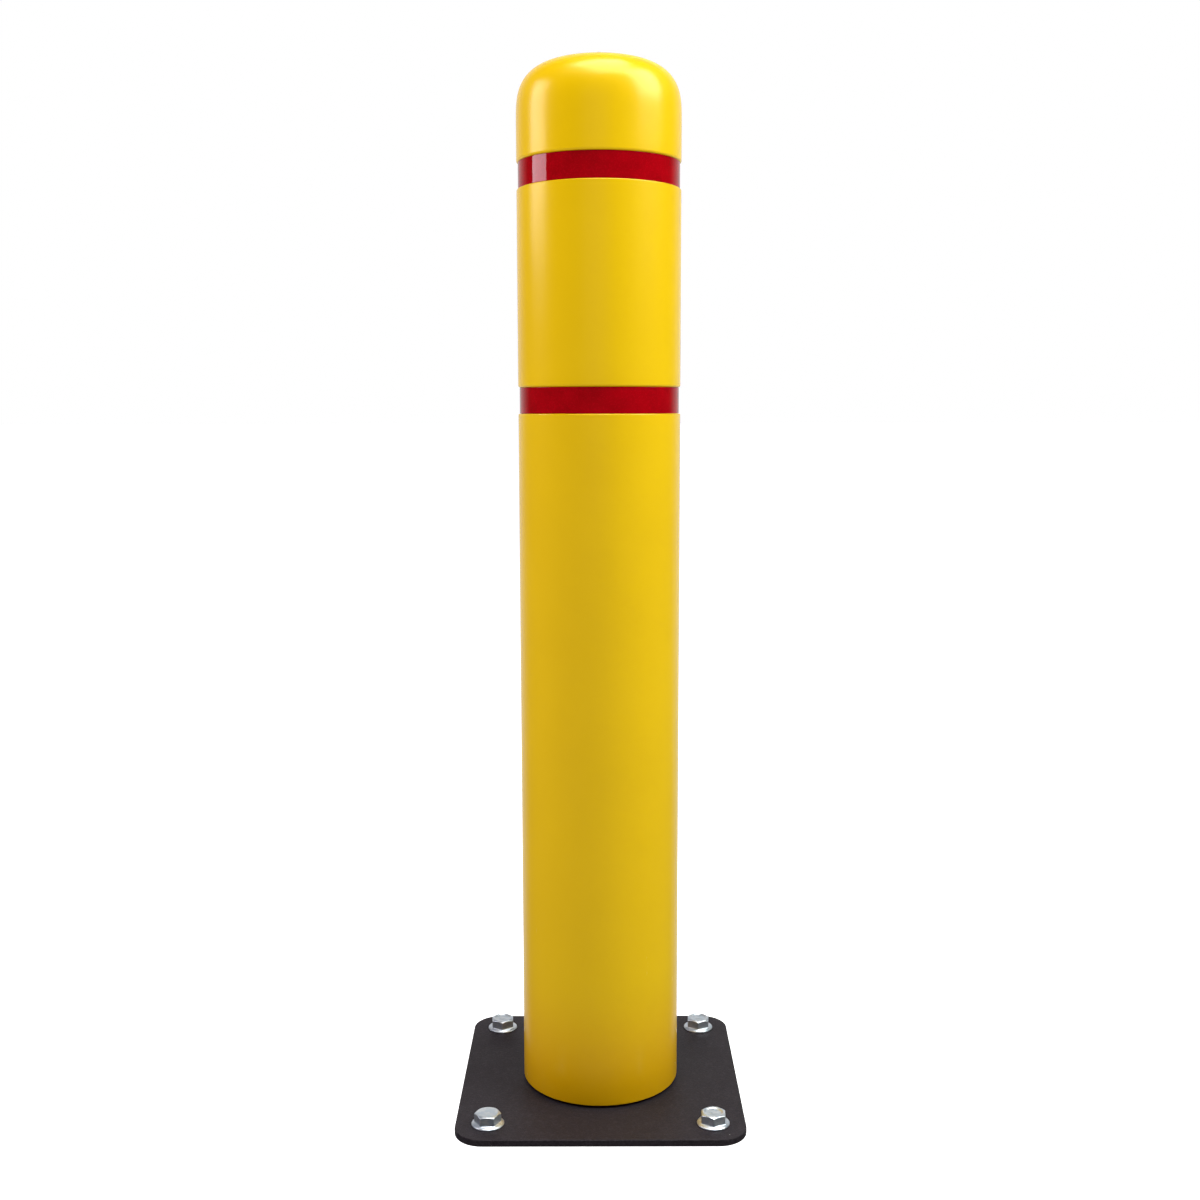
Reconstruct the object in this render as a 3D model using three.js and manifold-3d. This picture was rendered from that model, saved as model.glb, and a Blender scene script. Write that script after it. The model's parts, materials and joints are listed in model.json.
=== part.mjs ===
// Steel safety bollard: a capped steel pipe welded to an anchored base plate, under a slip-on plastic
// cover with two reflective bands. Millimetres, +Z up.
//
// The origin is the centre of the base plate's underside, on the floor line, and -Y is the front.
// The post is a 4 inch nominal pipe and the cover is 36 inches tall above the plate.

import * as THREE from 'three';
import { mergeVertices } from 'three/addons/utils/BufferGeometryUtils.js';
import Module from 'manifold-3d';

const wasm = await Module();
wasm.setup();

// ---------------------------------------------------------------- driving dimensions

const TOUCH_GAP = 0.3; // left between pieces that bear on each other
const AROUND = 48; // facets round a full circle

const PLATE_SIDE = 254;
const PLATE_THICKNESS = 6.35;
const PLATE_CORNER_RADIUS = 25.4;
const ANCHOR_SPACING = 196.85; // hole to hole, along X and along Y
const ANCHOR_HOLE_DIAMETER = 15.9;

const PIPE_DIAMETER = 114.3;
const PIPE_WALL = 6.02;
const BASE_WELD_LEG = 5.5;

const COVER_DIAMETER = 142.9;
const COVER_WALL = 6.35;
const COVER_HEIGHT = 914.4; // base plate's top to the crown of the dome
const COVER_FOOT_GAP = 2; // the cover hangs from its crown, just clear of the plate
const DOME_RISE = 52;
const DOME_EXPONENT = 3.2; // superellipse: 2 is an ellipse, more is flatter on top
const DOME_STEPS = 12;

const TAPE_WIDTH = 22.2;
const TAPE_THICKNESS = 0.6;
const GROOVE_DEPTH = 2.1;
const CROWN_TO_UPPER_TAPE = 97.3; // to the tape's middle
const TAPE_SPACING = 191.5;

const CROWN_TO_PIPE_TOP = 30;
const CAP_RADIUS = 53;
const CAP_THICKNESS = 6.35;
const BOSS_RADIUS = 14; // moulded inside the dome, seats the cover on the pipe's cap

const SCREW_SHANK_RADIUS = 4;
const SCREW_LENGTH = 45;
const SCREW_HEAD_RADIUS = 7;
const SCREW_HEAD_HEIGHT = 4.4;
const SCREW_SOCKET_WIDTH = 5;
const SCREW_SOCKET_DEPTH = 2.6;
const SCREW_HOLE_RADIUS = 4.5;
const WASHER_RADIUS = 10;
const WASHER_THICKNESS = 1.6;
const NUT_WIDTH = 13;
const NUT_HEIGHT = 6.5;

const FOAM_THICKNESS = 7.25;
const FOAM_WIDTH = 32;
const FOAM_LENGTH = 150;
const LOWER_FOAM_Z = 60; // bottom edge of the lower strips
const UPPER_FOAM_Z = 690;

const HEX_WIDTH = 20.6; // across the flats of an anchor's head
const HEX_HEIGHT = 8.1;
const HEX_CHAMFER = 1.2;
const FLANGE_RADIUS = 14.3;
const FLANGE_THICKNESS = 2.4;
const ANCHOR_LENGTH = 76.2; // under the flange
const ANCHOR_CORE_RADIUS = 6.1;
const ANCHOR_THREAD_RADIUS = 7.2;
const ANCHOR_THREAD_PITCH = 9;
const ANCHOR_PLAIN_LENGTH = 12; // unthreaded neck through the plate
const ANCHOR_AROUND = 12;

// ---------------------------------------------------------------- derived levels

const PLATE_TOP = PLATE_THICKNESS;
const COVER_TOP = PLATE_TOP + COVER_HEIGHT;
const COVER_FOOT = PLATE_TOP + COVER_FOOT_GAP;
const DOME_SPRING = COVER_TOP - DOME_RISE;
const COVER_RADIUS = COVER_DIAMETER / 2;
const COVER_BORE = COVER_RADIUS - COVER_WALL;
const UPPER_TAPE_Z = COVER_TOP - CROWN_TO_UPPER_TAPE;
const LOWER_TAPE_Z = UPPER_TAPE_Z - TAPE_SPACING;
const PIPE_RADIUS = PIPE_DIAMETER / 2;
const PIPE_FOOT = PLATE_TOP + TOUCH_GAP;
const PIPE_TOP = COVER_TOP - CROWN_TO_PIPE_TOP;
const CAP_FOOT = PIPE_TOP + TOUCH_GAP;
const CAP_TOP = CAP_FOOT + CAP_THICKNESS;

// ---------------------------------------------------------------- materials

const BLACK_COAT = { color: 0x1d1a1c, roughness: 0.62, metalness: 0.1 };
const YELLOW_PLASTIC = { color: 0xf2c500, roughness: 0.42, metalness: 0 };
const RED_TAPE = { color: 0xb00012, roughness: 0.22, metalness: 0 };
const ZINC = { color: 0xb9c0c8, roughness: 0.28, metalness: 1 };
const BLACK_OXIDE = { color: 0x2b2b2d, roughness: 0.45, metalness: 0.8 };
const BARE_STEEL = { color: 0x8a8c8f, roughness: 0.5, metalness: 1 };
const GREY_FOAM = { color: 0x3a3b3d, roughness: 0.95, metalness: 0 };

const bollard = new THREE.Group();
bollard.name = 'steel_safety_bollard';

function add(name, geometry, finish) {
  const mesh = new THREE.Mesh(geometry, new THREE.MeshStandardMaterial(finish));
  mesh.name = name;
  bollard.add(mesh);
  return mesh;
}

// ---------------------------------------------------------------- shape helpers

// Turns a closed profile of [radius, z] points, anticlockwise seen with Z up, about the Z axis.
function turned(profile, around = AROUND) {
  const points = [...profile, profile[0]].map(([radius, z]) => new THREE.Vector2(radius, z));
  return new THREE.LatheGeometry(points, around).rotateX(Math.PI / 2);
}

// Turns a solid profile whose first and last points are on the axis.
function turnedSolid(profile, around = AROUND) {
  const points = profile.map(([radius, z]) => new THREE.Vector2(radius, z));
  return new THREE.LatheGeometry(points, around).rotateX(Math.PI / 2);
}

function ring(inner, outer, foot, top) {
  return turned([[inner, foot], [outer, foot], [outer, top], [inner, top]]);
}

function upright(shape, foot, height, curveSegments = 8) {
  const settings = { depth: height, bevelEnabled: false, curveSegments };
  return new THREE.ExtrudeGeometry(shape, settings).translate(0, 0, foot);
}

function hexagon(width) {
  const corner = width / Math.sqrt(3);
  const points = [];
  for (let i = 0; i < 6; i += 1) {
    const angle = (i * Math.PI) / 3;
    points.push(new THREE.Vector2(corner * Math.cos(angle), corner * Math.sin(angle)));
  }
  return new THREE.Shape(points);
}

function roundHole(x, y, radius) {
  return new THREE.Path().absarc(x, y, radius, 0, 2 * Math.PI, true);
}

function toManifold(geometry) {
  const bare = geometry.clone();
  bare.deleteAttribute('normal');
  bare.deleteAttribute('uv');
  const merged = mergeVertices(bare);
  return new wasm.Manifold(
    new wasm.Mesh({
      numProp: 3,
      vertProperties: new Float32Array(merged.attributes.position.array),
      triVerts: new Uint32Array(merged.index.array),
    }),
  );
}

function fromManifold(solid) {
  const { vertProperties, triVerts } = solid.getMesh();
  const geometry = new THREE.BufferGeometry();
  geometry.setAttribute('position', new THREE.BufferAttribute(vertProperties, 3));
  geometry.setIndex(new THREE.BufferAttribute(triVerts, 1));
  geometry.computeVertexNormals();
  return geometry;
}

// Height of a superellipse dome above its spring line, at a radius.
function domeHeight(radius, domeRadius, rise) {
  return rise * (1 - (radius / domeRadius) ** DOME_EXPONENT) ** (1 / DOME_EXPONENT);
}

// The dome's profile from its spring line in to innerRadius, with even steps in angle.
function domeProfile(domeRadius, rise, innerRadius) {
  const power = 2 / DOME_EXPONENT;
  const lastAngle = Math.acos((innerRadius / domeRadius) ** (1 / power));
  const points = [];
  for (let i = 0; i < DOME_STEPS; i += 1) {
    const angle = (lastAngle * i) / DOME_STEPS;
    points.push([domeRadius * Math.cos(angle) ** power, DOME_SPRING + rise * Math.sin(angle) ** power]);
  }
  points.push([innerRadius, DOME_SPRING + domeHeight(innerRadius, domeRadius, rise)]);
  return points;
}

// ---------------------------------------------------------------- base plate

const anchorPlaces = {
  front_left: [-1, -1],
  front_right: [1, -1],
  rear_left: [-1, 1],
  rear_right: [1, 1],
};

function basePlate() {
  const half = PLATE_SIDE / 2;
  const inset = half - PLATE_CORNER_RADIUS;
  const outline = new THREE.Shape();
  outline.absarc(inset, -inset, PLATE_CORNER_RADIUS, -Math.PI / 2, 0, false);
  outline.absarc(inset, inset, PLATE_CORNER_RADIUS, 0, Math.PI / 2, false);
  outline.absarc(-inset, inset, PLATE_CORNER_RADIUS, Math.PI / 2, Math.PI, false);
  outline.absarc(-inset, -inset, PLATE_CORNER_RADIUS, Math.PI, (3 * Math.PI) / 2, false);
  for (const [sideX, sideY] of Object.values(anchorPlaces)) {
    const x = (sideX * ANCHOR_SPACING) / 2;
    const y = (sideY * ANCHOR_SPACING) / 2;
    outline.holes.push(roundHole(x, y, ANCHOR_HOLE_DIAMETER / 2));
  }
  return upright(outline, 0, PLATE_THICKNESS, 12);
}

add('base_plate', basePlate(), BLACK_COAT);

// ---------------------------------------------------------------- steel post

// A fillet bead with a slightly convex face, in the corner between a wall at radius and a floor at foot.
function filletBead(radius, foot, leg) {
  const bulge = 0.6 * leg;
  return turned([
    [radius, foot],
    [radius + leg, foot],
    [radius + bulge, foot + bulge],
    [radius, foot + leg],
  ]);
}

const pipeBore = PIPE_RADIUS - PIPE_WALL;
add('pipe_post', ring(pipeBore, PIPE_RADIUS, PIPE_FOOT, PIPE_TOP), BLACK_COAT);
add('base_weld', filletBead(PIPE_RADIUS + TOUCH_GAP, PIPE_FOOT, BASE_WELD_LEG), BLACK_COAT);
add('pipe_cap', ring(SCREW_HOLE_RADIUS, CAP_RADIUS, CAP_FOOT, CAP_TOP), BLACK_COAT);

const capWeldLeg = PIPE_RADIUS - CAP_RADIUS - TOUCH_GAP;
add('cap_weld', filletBead(CAP_RADIUS + TOUCH_GAP, CAP_FOOT, capWeldLeg), BLACK_COAT);

const nutOutline = hexagon(NUT_WIDTH);
nutOutline.holes.push(roundHole(0, 0, SCREW_SHANK_RADIUS + TOUCH_GAP));
const nutTop = CAP_FOOT - TOUCH_GAP;
add('weld_nut', upright(nutOutline, nutTop - NUT_HEIGHT, NUT_HEIGHT), BARE_STEEL);

// ---------------------------------------------------------------- foam spacers

// A strip glued on the pipe, bent to its curve, centred on an angle.
function foamStrip(angle, foot) {
  const inner = PIPE_RADIUS + TOUCH_GAP;
  const outer = inner + FOAM_THICKNESS;
  const halfAngle = FOAM_WIDTH / 2 / inner;
  const outline = new THREE.Shape();
  outline.absarc(0, 0, outer, angle - halfAngle, angle + halfAngle, false);
  outline.absarc(0, 0, inner, angle + halfAngle, angle - halfAngle, true);
  return upright(outline, foot, FOAM_LENGTH, 4);
}

const foamSides = { front: -Math.PI / 2, right: 0, rear: Math.PI / 2, left: Math.PI };
for (const [side, angle] of Object.entries(foamSides)) {
  add(`foam_strip_lower_${side}`, foamStrip(angle, LOWER_FOAM_Z), GREY_FOAM);
  add(`foam_strip_upper_${side}`, foamStrip(angle, UPPER_FOAM_Z), GREY_FOAM);
}

// ---------------------------------------------------------------- cover and tapes

const grooveHalf = TAPE_WIDTH / 2 + TOUCH_GAP;
const grooveFloor = COVER_RADIUS - GROOVE_DEPTH;

function grooveProfile(middle) {
  return [
    [COVER_RADIUS, middle - grooveHalf],
    [grooveFloor, middle - grooveHalf],
    [grooveFloor, middle + grooveHalf],
    [COVER_RADIUS, middle + grooveHalf],
  ];
}

function coverSleeve() {
  const outside = domeProfile(COVER_RADIUS, DOME_RISE, SCREW_HOLE_RADIUS);
  const inside = domeProfile(COVER_BORE, DOME_RISE - COVER_WALL, BOSS_RADIUS).reverse();
  return turned([
    [COVER_BORE, COVER_FOOT],
    [COVER_RADIUS, COVER_FOOT],
    ...grooveProfile(LOWER_TAPE_Z),
    ...grooveProfile(UPPER_TAPE_Z),
    ...outside,
    [SCREW_HOLE_RADIUS, CAP_TOP + TOUCH_GAP],
    [BOSS_RADIUS, CAP_TOP + TOUCH_GAP],
    ...inside,
  ]);
}

function tape(middle) {
  const inner = grooveFloor + TOUCH_GAP;
  return ring(inner, inner + TAPE_THICKNESS, middle - TAPE_WIDTH / 2, middle + TAPE_WIDTH / 2);
}

add('cover_sleeve', coverSleeve(), YELLOW_PLASTIC);
add('upper_reflective_tape', tape(UPPER_TAPE_Z), RED_TAPE);
add('lower_reflective_tape', tape(LOWER_TAPE_Z), RED_TAPE);

// ---------------------------------------------------------------- cover screw

const washerFoot = COVER_TOP + TOUCH_GAP;
const screwSeat = washerFoot + WASHER_THICKNESS + TOUCH_GAP;
const washer = ring(SCREW_HOLE_RADIUS, WASHER_RADIUS, washerFoot, washerFoot + WASHER_THICKNESS);
add('cover_screw_washer', washer, BLACK_OXIDE);

// A button head on a plain shank, with a hexagon socket.
function coverScrew() {
  const crownSteps = 5;
  const profile = [
    [0, screwSeat - SCREW_LENGTH],
    [SCREW_SHANK_RADIUS - 0.8, screwSeat - SCREW_LENGTH],
    [SCREW_SHANK_RADIUS, screwSeat - SCREW_LENGTH + 0.8],
    [SCREW_SHANK_RADIUS, screwSeat],
  ];
  for (let i = 0; i < crownSteps; i += 1) {
    const angle = (Math.PI / 2) * (i / crownSteps);
    const radius = SCREW_HEAD_RADIUS * Math.cos(angle);
    profile.push([radius, screwSeat + SCREW_HEAD_HEIGHT * Math.sin(angle)]);
  }
  profile.push([0, screwSeat + SCREW_HEAD_HEIGHT]);
  const body = toManifold(turnedSolid(profile, 24));
  const socketFoot = screwSeat + SCREW_HEAD_HEIGHT - SCREW_SOCKET_DEPTH;
  const socket = toManifold(upright(hexagon(SCREW_SOCKET_WIDTH), socketFoot, SCREW_SOCKET_DEPTH + 1));
  return fromManifold(body.subtract(socket));
}

add('cover_screw', coverScrew(), BLACK_OXIDE);

// ---------------------------------------------------------------- screw anchors

// Shank with ridges at the thread's pitch, pointing down from the flange's seat at z = 0.
function anchorShank() {
  const profile = [[0, -ANCHOR_LENGTH]];
  profile.push([ANCHOR_CORE_RADIUS - 2, -ANCHOR_LENGTH]);
  profile.push([ANCHOR_CORE_RADIUS, -ANCHOR_LENGTH + 3]);
  const ridges = Math.floor((ANCHOR_LENGTH - ANCHOR_PLAIN_LENGTH - 3) / ANCHOR_THREAD_PITCH);
  for (let i = 0; i < ridges; i += 1) {
    const foot = -ANCHOR_LENGTH + 3 + (i + 0.5) * ANCHOR_THREAD_PITCH;
    profile.push([ANCHOR_CORE_RADIUS, foot - 1.4]);
    profile.push([ANCHOR_THREAD_RADIUS, foot - 0.3]);
    profile.push([ANCHOR_THREAD_RADIUS, foot + 0.3]);
    profile.push([ANCHOR_CORE_RADIUS, foot + 1.4]);
  }
  profile.push([ANCHOR_CORE_RADIUS, 1]);
  profile.push([0, 1]);
  return turnedSolid(profile, ANCHOR_AROUND);
}

// Hexagon washer head: a dished flange under a hexagon whose top edge is chamfered.
function anchorHead() {
  const hexFoot = FLANGE_THICKNESS - 0.6;
  const flange = turnedSolid([
    [0, 0],
    [FLANGE_RADIUS, 0],
    [FLANGE_RADIUS, FLANGE_THICKNESS * 0.5],
    [FLANGE_RADIUS - 2.6, FLANGE_THICKNESS],
    [0, FLANGE_THICKNESS],
  ], 24);
  const hexagonTop = FLANGE_THICKNESS + HEX_HEIGHT;
  const prism = upright(hexagon(HEX_WIDTH), hexFoot, hexagonTop - hexFoot);
  const corner = HEX_WIDTH / Math.sqrt(3);
  const chamferCone = turnedSolid([
    [0, 0],
    [corner + 1, 0],
    [corner + 1, hexagonTop - HEX_CHAMFER],
    [HEX_WIDTH / 2 - 0.6, hexagonTop],
    [0, hexagonTop],
  ], 24);
  return toManifold(prism).intersect(toManifold(chamferCone)).add(toManifold(flange));
}

const anchorSolid = fromManifold(anchorHead().add(toManifold(anchorShank())));

// Each anchor stopped turning where it went tight, so the heads point different ways.
const anchorTurnDegrees = { front_left: 1, front_right: 27, rear_left: 33, rear_right: 26 };
for (const [place, [sideX, sideY]] of Object.entries(anchorPlaces)) {
  const anchor = add(`anchor_${place}`, anchorSolid.clone(), ZINC);
  anchor.position.set((sideX * ANCHOR_SPACING) / 2, (sideY * ANCHOR_SPACING) / 2, PLATE_TOP + TOUCH_GAP);
  anchor.rotation.z = THREE.MathUtils.degToRad(anchorTurnDegrees[place]);
}

export default bollard;
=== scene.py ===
"""The looks of the steel safety bollard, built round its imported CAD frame.

Every CAD node is stood for by one finely made piece on the same body. Lengths named *_MM and the
helpers' profiles are in millimetres, as the design is; the meshes come out in metres. The front
is -Y.
"""

import json
import math

import bmesh
import bpy
from mathutils import Matrix, Vector

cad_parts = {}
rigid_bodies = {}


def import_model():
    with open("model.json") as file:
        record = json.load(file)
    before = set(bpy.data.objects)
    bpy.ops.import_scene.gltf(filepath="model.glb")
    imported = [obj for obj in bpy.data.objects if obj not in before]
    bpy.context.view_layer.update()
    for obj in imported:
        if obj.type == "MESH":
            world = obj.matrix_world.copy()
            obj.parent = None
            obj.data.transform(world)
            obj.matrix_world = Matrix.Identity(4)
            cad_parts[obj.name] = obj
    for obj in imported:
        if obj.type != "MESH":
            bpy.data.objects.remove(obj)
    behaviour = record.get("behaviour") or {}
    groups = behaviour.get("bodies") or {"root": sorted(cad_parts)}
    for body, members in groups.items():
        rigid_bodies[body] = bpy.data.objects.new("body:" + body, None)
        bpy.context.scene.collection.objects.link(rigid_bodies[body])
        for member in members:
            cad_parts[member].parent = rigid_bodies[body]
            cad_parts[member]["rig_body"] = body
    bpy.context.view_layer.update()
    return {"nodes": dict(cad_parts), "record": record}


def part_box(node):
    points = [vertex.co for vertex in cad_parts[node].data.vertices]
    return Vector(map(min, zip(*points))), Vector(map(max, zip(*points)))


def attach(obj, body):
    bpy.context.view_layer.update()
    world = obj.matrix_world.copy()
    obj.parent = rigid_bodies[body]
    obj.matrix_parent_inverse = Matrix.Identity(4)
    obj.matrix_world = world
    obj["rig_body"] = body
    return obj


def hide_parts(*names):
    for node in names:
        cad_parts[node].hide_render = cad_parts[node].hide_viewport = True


MM = 0.001
TAU = 2 * math.pi
QUARTER = TAU / 4

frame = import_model()
slot_of = {entry["node"]: entry["material_slot"] for entry in frame["record"]["subparts"]}


def cad_box(node):
    """Lowest and highest corners of a CAD node, in millimetres."""
    low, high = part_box(node)
    return low / MM, high / MM


# ---------------------------------------------------------------- sizes taken from the frame

plate_low, plate_high = cad_box("base_plate")
cover_low, cover_high = cad_box("cover_sleeve")
pipe_low, pipe_high = cad_box("pipe_post")
cap_low, cap_high = cad_box("pipe_cap")
screw_low, screw_high = cad_box("cover_screw")

PLATE_TOP_MM = plate_high.z
PIPE_RADIUS_MM = pipe_high.x
COVER_RADIUS_MM = cover_high.x
COVER_TOP_MM = cover_high.z

# Sizes that a box doesn't give, the same as in the CAD model.
TOUCH_GAP_MM = 0.3
PLATE_CORNER_RADIUS_MM = 25.4
ANCHOR_HOLE_RADIUS_MM = 7.95
PIPE_WALL_MM = 6.02
COVER_WALL_MM = 6.35
DOME_RISE_MM = 52
DOME_EXPONENT = 3.2
GROOVE_DEPTH_MM = 2.1
BOSS_RADIUS_MM = 14
SCREW_HOLE_RADIUS_MM = 4.5
SCREW_HEAD_HEIGHT_MM = 4.4

# Sizes of the looks alone.
HAIR_GAP_MM = 0.05
PLATE_EDGE_ROUND_MM = 0.9
WELD_RIPPLE_MM = 3.4
FOAM_HALF_WIDTH_MM = 15.8
FOAM_EDGE_ROUND_MM = 1.1
TAPE_THICKNESS_MM = 0.5
SOCKET_WIDTH_MM = 5.0
ANCHOR_SEAT_GAP_MM = 0.02
ANCHOR_HEXAGON_MM = 20.6
ANCHOR_CHAMFER_SLOPE = 0.52
ANCHOR_CORE_MM = 6.1
ANCHOR_CREST_MM = 7.2
ANCHOR_PITCH_MM = 9.0
ANCHOR_NECK_MM = 12.0


# ---------------------------------------------------------------- mesh helpers

FLAT_FACE_WEIGHT = 60


def finish_mesh(name, mesh):
    """Turns a bmesh into a smooth-shaded object whose flat faces stay flat beside rounded edges."""
    bmesh.ops.recalc_face_normals(mesh, faces=mesh.faces)
    for face in mesh.faces:
        face.smooth = True
    data = bpy.data.meshes.new(name)
    mesh.to_mesh(data)
    mesh.free()
    piece = bpy.data.objects.new(name, data)
    bpy.context.scene.collection.objects.link(piece)
    normals = piece.modifiers.new("even_normals", "WEIGHTED_NORMAL")
    normals.weight = FLAT_FACE_WEIGHT
    return piece


def loft(name, rings, wrap=False):
    """A closed skin through rings of points.

    A ring of one point is a tip; wrap joins the last ring to the first.
    """
    mesh = bmesh.new()
    rows = [[mesh.verts.new(Vector(point) * MM) for point in ring] for ring in rings]
    pairs = list(zip(rows, rows[1:]))
    if wrap:
        pairs.append((rows[-1], rows[0]))
    for lower, upper in pairs:
        count = max(len(lower), len(upper))
        for i in range(count):
            j = (i + 1) % count
            corners = [
                lower[i % len(lower)],
                lower[j % len(lower)],
                upper[j % len(upper)],
                upper[i % len(upper)],
            ]
            mesh.faces.new(list(dict.fromkeys(corners)))
    if not wrap:
        for end in (rows[0], rows[-1]):
            if len(end) > 2:
                mesh.faces.new(end)
    return finish_mesh(name, mesh)


def rounded(corners, steps=6):
    """The closed path through (across, up, fillet) corners, with an arc where there is a fillet."""
    path = []
    for i, (across, up, *fillet) in enumerate(corners):
        here = Vector((across, up))
        if not fillet:
            path.append(here)
            continue
        before = (Vector(corners[i - 1][:2]) - here).normalized()
        after = (Vector(corners[(i + 1) % len(corners)][:2]) - here).normalized()
        half = before.angle(after) / 2
        centre = here + (before + after).normalized() * fillet[0] / math.sin(half)
        start = here + before * fillet[0] / math.tan(half) - centre
        end = here + after * fillet[0] / math.tan(half) - centre
        sweep = start.angle(end)
        for k in range(steps + 1):
            share = k / steps
            blend = start * math.sin((1 - share) * sweep) + end * math.sin(share * sweep)
            path.append(centre + blend / math.sin(sweep))
    return path


def stepped(path, longest):
    """The same closed path with its long straights cut into steps no longer than longest."""
    result = []
    for here, there in zip(path, path[1:] + path[:1]):
        cuts = max(1, math.ceil((there - here).length / longest))
        result.extend(here.lerp(there, k / cuts) for k in range(cuts))
    return result


def polar(radius, angle, z):
    return (radius * math.cos(angle), radius * math.sin(angle), z)


def turned(name, profile, around=192):
    """A piece turned about the Z axis from a closed profile of (radius, z) points."""
    angles = [TAU * i / around for i in range(around)]
    rings = [[polar(radius, angle, z) for angle in angles] for radius, z in profile]
    return loft(name, rings, wrap=True)


def rounded_hexagon(width, fillet, flat_steps=3, fillet_steps=4):
    """(angle, radius) round a hexagon of that width across flats, with its corners rounded."""
    corner = width / math.sqrt(3)
    turns = [TAU * i / 6 for i in range(6)]
    corners = [(corner * math.cos(turn), corner * math.sin(turn), fillet) for turn in turns]
    path = stepped(rounded(corners, steps=fillet_steps), corner / flat_steps)
    return [(math.atan2(point.y, point.x), point.length) for point in path]


def round_ring(outline, radius, z):
    """A circle with as many points as the hexagon's outline, so that the two can be joined."""
    return [polar(radius, angle, z) for angle, _ in outline]


def hex_ring(outline, z_of, inset=0.0):
    """The outline moved in by inset, each point at the height z_of gives for its radius."""
    return [polar(radius - inset, angle, z_of(radius)) for angle, radius in outline]


def smoothstep(low, high, value):
    share = min(1.0, max(0.0, (value - low) / (high - low)))
    return share * share * (3 - 2 * share)


# ---------------------------------------------------------------- node helpers


def rgb(red, green, blue):
    return (red, green, blue, 1.0)


class Nodes:
    """A node tree, with the kinds of node that the surfaces and the studio share."""

    def __init__(self, tree):
        self.tree = tree

    def node(self, kind, **settings):
        made = self.tree.nodes.new(kind)
        for key, value in settings.items():
            setattr(made, key, value)
        return made

    def feed(self, socket, value):
        """Links a socket from another, or sets its value."""
        if isinstance(value, bpy.types.NodeSocket):
            self.tree.links.new(value, socket)
        else:
            socket.default_value = value

    def math(self, operation, first, second):
        made = self.node("ShaderNodeMath", operation=operation)
        self.feed(made.inputs[0], first)
        self.feed(made.inputs[1], second)
        return made.outputs[0]

    def separate(self, vector):
        made = self.node("ShaderNodeSeparateXYZ")
        self.feed(made.inputs[0], vector)
        return made.outputs

    def blend(self, value, low, high, at_low, at_high):
        """at_low where value is below low and at_high where it is above high, smoothly."""
        made = self.node("ShaderNodeMapRange", interpolation_type="SMOOTHSTEP")
        self.feed(made.inputs["Value"], value)
        limits = {"From Min": low, "From Max": high, "To Min": at_low, "To Max": at_high}
        for key, limit in limits.items():
            made.inputs[key].default_value = limit
        return made.outputs["Result"]


class Surface(Nodes):
    """A Principled material whose colour, roughness and bump are layered from procedural nodes."""

    def __init__(self, name, **inputs):
        self.material = bpy.data.materials.new(name)
        self.material.use_nodes = True
        super().__init__(self.material.node_tree)
        self.shader = self.tree.nodes["Principled BSDF"]
        self.place = self.node("ShaderNodeTexCoord").outputs["Object"]
        self.last_normal = None
        for key, value in inputs.items():
            self.shader.inputs[key.replace("_", " ")].default_value = value

    def stretched(self, scale):
        """Object coordinates scaled by (x, y, z), for streaks."""
        mapping = self.node("ShaderNodeMapping")
        self.feed(mapping.inputs["Vector"], self.place)
        mapping.inputs["Scale"].default_value = scale
        return mapping.outputs["Vector"]

    def noise(self, size_mm, detail=4.0, roughness=0.55, place=None):
        made = self.node("ShaderNodeTexNoise")
        self.feed(made.inputs["Vector"], place or self.place)
        made.inputs["Scale"].default_value = 1 / (size_mm * MM)
        made.inputs["Detail"].default_value = detail
        made.inputs["Roughness"].default_value = roughness
        return made.outputs["Fac"]

    def cells(self, size_mm, output="Distance", feature="F1"):
        made = self.node("ShaderNodeTexVoronoi", feature=feature)
        self.feed(made.inputs["Vector"], self.place)
        made.inputs["Scale"].default_value = 1 / (size_mm * MM)
        return made.outputs[output]

    def specks(self, spacing_mm, radius, share):
        """1 on small dots scattered on a lattice, on about that share of its cells."""
        near = self.ramp(self.cells(spacing_mm), radius, radius * 0.6)
        chance = self.separate(self.cells(spacing_mm, output="Color"))[0]
        return self.math("MULTIPLY", near, self.math("LESS_THAN", chance, share))

    def ramp(self, value, low, high):
        """0 at low and 1 at high, smoothly; low may be the greater."""
        if low < high:
            return self.blend(value, low, high, 0.0, 1.0)
        return self.blend(value, high, low, 1.0, 0.0)

    def mix(self, share, first, second):
        made = self.node("ShaderNodeMix", data_type="RGBA")
        self.feed(made.inputs["Factor"], share)
        self.feed(made.inputs[6], first)
        self.feed(made.inputs[7], second)
        return made.outputs[2]

    def layer(self, base, mask, strength, colour):
        """The base colour with another over it where the mask is, at that strength."""
        return self.mix(self.math("MULTIPLY", mask, strength), base, colour)

    def edges(self, low=0.52, high=0.6):
        """1 along outward edges."""
        return self.ramp(self.node("ShaderNodeNewGeometry").outputs["Pointiness"], low, high)

    def colour(self, value):
        self.feed(self.shader.inputs["Base Color"], value)

    def gloss(self, base, *layers):
        """Roughness: base plus (texture, amount) layers."""
        total = base
        for texture, amount in layers:
            total = self.math("ADD", total, self.math("MULTIPLY", texture, amount))
        self.feed(self.shader.inputs["Roughness"], total)

    def bump(self, height, depth_mm, socket="Normal"):
        """Raises the surface by up to depth_mm, on top of the bumps already laid."""
        made = self.node("ShaderNodeBump")
        made.inputs["Strength"].default_value = 1.0
        made.inputs["Distance"].default_value = depth_mm * MM
        self.feed(made.inputs["Height"], height)
        if self.last_normal is not None:
            self.feed(made.inputs["Normal"], self.last_normal)
        self.last_normal = made.outputs["Normal"]
        self.feed(self.shader.inputs[socket], self.last_normal)


# ---------------------------------------------------------------- materials


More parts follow.
